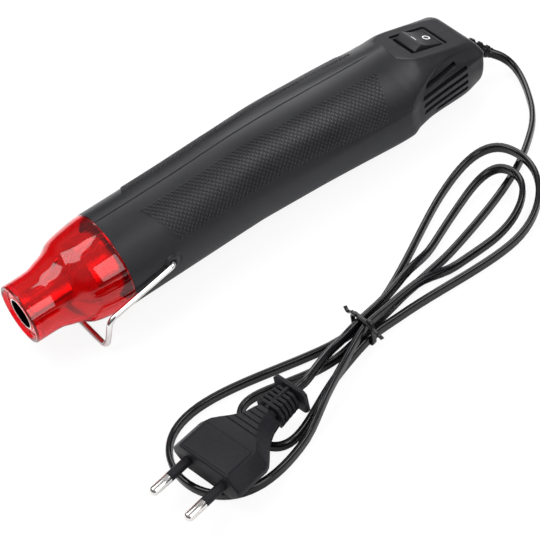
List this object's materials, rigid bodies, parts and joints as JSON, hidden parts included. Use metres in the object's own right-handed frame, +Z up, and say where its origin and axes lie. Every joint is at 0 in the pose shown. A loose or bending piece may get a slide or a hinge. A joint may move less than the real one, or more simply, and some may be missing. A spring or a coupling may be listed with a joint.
{
  "type": "embossing heat tool",
  "caption": "Corded hot-air embossing tool with a red nozzle guard, a fold-down wire rest, a rocker switch and a folded mains cord with a flat two-pin plug.",
  "frame": {"origin": "middle of the bottom of the tool's box on the table, without the free cord", "axes": "+X from the nozzle to the cord end, +Y to the left seen from behind, +Z up"},
  "size_m": [0.2574, 0.1498, 0.0447],
  "materials": {
    "body": "fine-grained charcoal plastic",
    "guard": "glossy translucent red plastic",
    "steel": "plain steel",
    "chrome_wire": "bright plated wire",
    "pin_metal": "nickel-plated pins",
    "brass": "brass and bronze",
    "iron": "dark ferrite and carbon",
    "mica": "pale mica sheet",
    "board": "circuit board laminate",
    "black_plastic": "black moulded plastic",
    "white_plastic": "pale moulded plastic",
    "cord": "soft black cord jacket"
  },
  "bodies": {
    "body": {"left_shell": "body", "right_shell": "body", "shell_screws": "steel", "nozzle_guard": "guard", "heater_tube": "steel", "mica_sleeve": "mica", "mica_former": "mica", "heating_coil": "steel", "heater_plate": "mica", "thermal_cutout": "mica", "heater_leads": "mica", "fan_duct": "black_plastic", "motor_can": "steel", "motor_magnets": "iron", "motor_bushes": "brass", "motor_end_cap": "white_plastic", "motor_brushes": "iron", "motor_terminals": "brass", "circuit_board": "board", "rectifier_diodes": "black_plastic", "filter_capacitor": "board", "switch_housing": "black_plastic", "switch_pin": "steel", "switch_terminals": "brass", "power_leads": "cord", "cord_clamp": "black_plastic", "clamp_screws": "steel", "cord_inner": "cord", "cord_relief": "cord", "cord_lead": "cord", "cord_hank": "cord", "cord_tail": "cord", "cord_tie": "cord", "plug_body": "black_plastic", "plug_pins": "pin_metal", "pin_sleeves": "black_plastic"},
    "stand": {"wire_stand": "chrome_wire"},
    "rocker": {"switch_rocker": "black_plastic"},
    "rotor": {"motor_shaft": "steel", "fan_impeller": "white_plastic", "rotor_core": "steel", "commutator": "brass"}
  },
  "joints": [
    {"name": "stand_hinge", "type": "hinge", "parent": "body", "child": "stand", "pos_m": [-0.055, 0, 0.0225], "axis": [0, -1, 0], "range_deg": [0, 100]},
    {"name": "switch_hinge", "type": "hinge", "parent": "body", "child": "rocker", "pos_m": [0.09298, 0, 0.02975], "axis": [0, -1, 0], "range_deg": [0, 22]},
    {"name": "fan_spin", "type": "hinge", "parent": "body", "child": "rotor", "pos_m": [0.005, 0, 0.0225], "axis": [1, 0, 0], "continuous": true}
  ]
}
